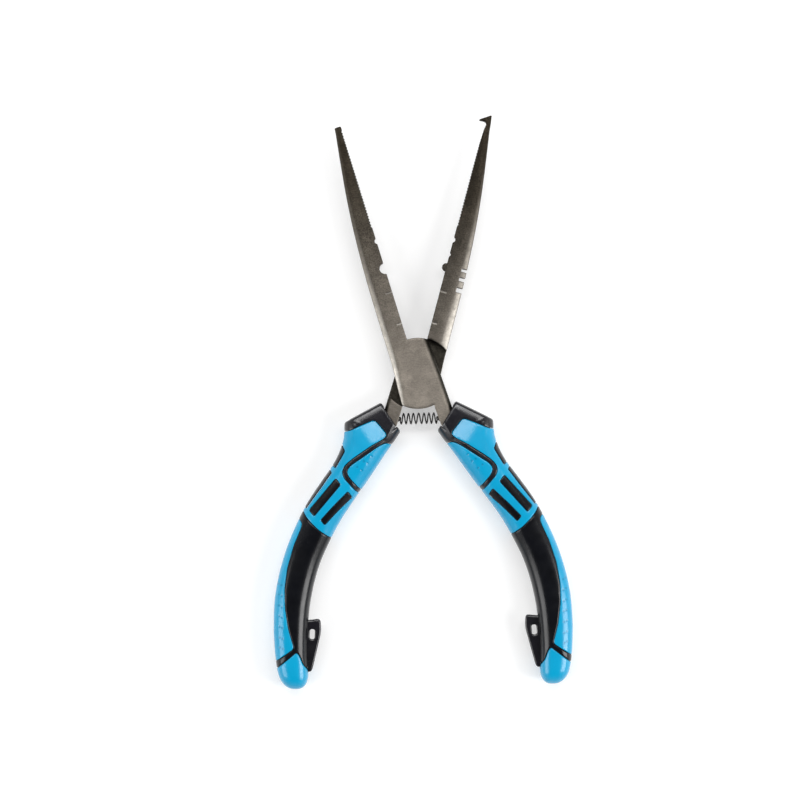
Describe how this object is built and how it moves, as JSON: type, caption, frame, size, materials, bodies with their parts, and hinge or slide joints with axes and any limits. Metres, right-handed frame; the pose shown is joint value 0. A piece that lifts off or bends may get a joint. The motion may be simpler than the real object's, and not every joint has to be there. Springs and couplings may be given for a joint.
{
  "type": "fishing pliers",
  "caption": "Long-nose fishing pliers with serrated jaws, side cutter, split-ring tip, coil return spring and curved two-colour grips with lanyard slots.",
  "frame": {"origin": "on the pivot's axis, at the flat back face of the joint", "axes": "+Z along the pivot's axis towards the front face, +Y towards the jaw tips, +X towards the front half's handle"},
  "size_m": [0.1252, 0.2384, 0.015],
  "materials": {
    "jaw_steel": "brushed, darkened towards the tips",
    "spring_steel": "oiled black wire",
    "hard_black": "semi-gloss moulded",
    "soft_black": "matte soft-touch",
    "blue_rubber": "satin soft-touch"
  },
  "bodies": {
    "front_half": {"front_lever": "jaw_steel", "pivot_rivet": "jaw_steel", "return_spring": "spring_steel", "spring_peg_right": "spring_steel", "grip_core_right": "hard_black", "grip_sleeve_right": "blue_rubber", "finger_panel_right": "blue_rubber", "back_strip_right": "blue_rubber", "end_cap_right": "blue_rubber", "palm_panel_right": "soft_black", "front_upper_rib_right": "soft_black", "front_lower_rib_right": "soft_black", "back_upper_rib_right": "soft_black", "back_lower_rib_right": "soft_black", "upper_edge_inlay_right": "soft_black", "lower_edge_inlay_right": "soft_black"},
    "rear_half": {"rear_lever": "jaw_steel", "spring_peg_left": "spring_steel", "grip_core_left": "hard_black", "grip_sleeve_left": "blue_rubber", "finger_panel_left": "blue_rubber", "back_strip_left": "blue_rubber", "end_cap_left": "blue_rubber", "palm_panel_left": "soft_black", "front_upper_rib_left": "soft_black", "front_lower_rib_left": "soft_black", "back_upper_rib_left": "soft_black", "back_lower_rib_left": "soft_black", "upper_edge_inlay_left": "soft_black", "lower_edge_inlay_left": "soft_black"}
  },
  "joints": [
    {"name": "pivot", "type": "hinge", "parent": "front_half", "child": "rear_half", "pos_m": [0, 0, 0], "axis": [0, 0, 1], "range_deg": [0, 31.8], "stiffness_Nm_per_rad": 0.15, "springref_deg": -17.19, "deforming": ["return_spring"]}
  ]
}
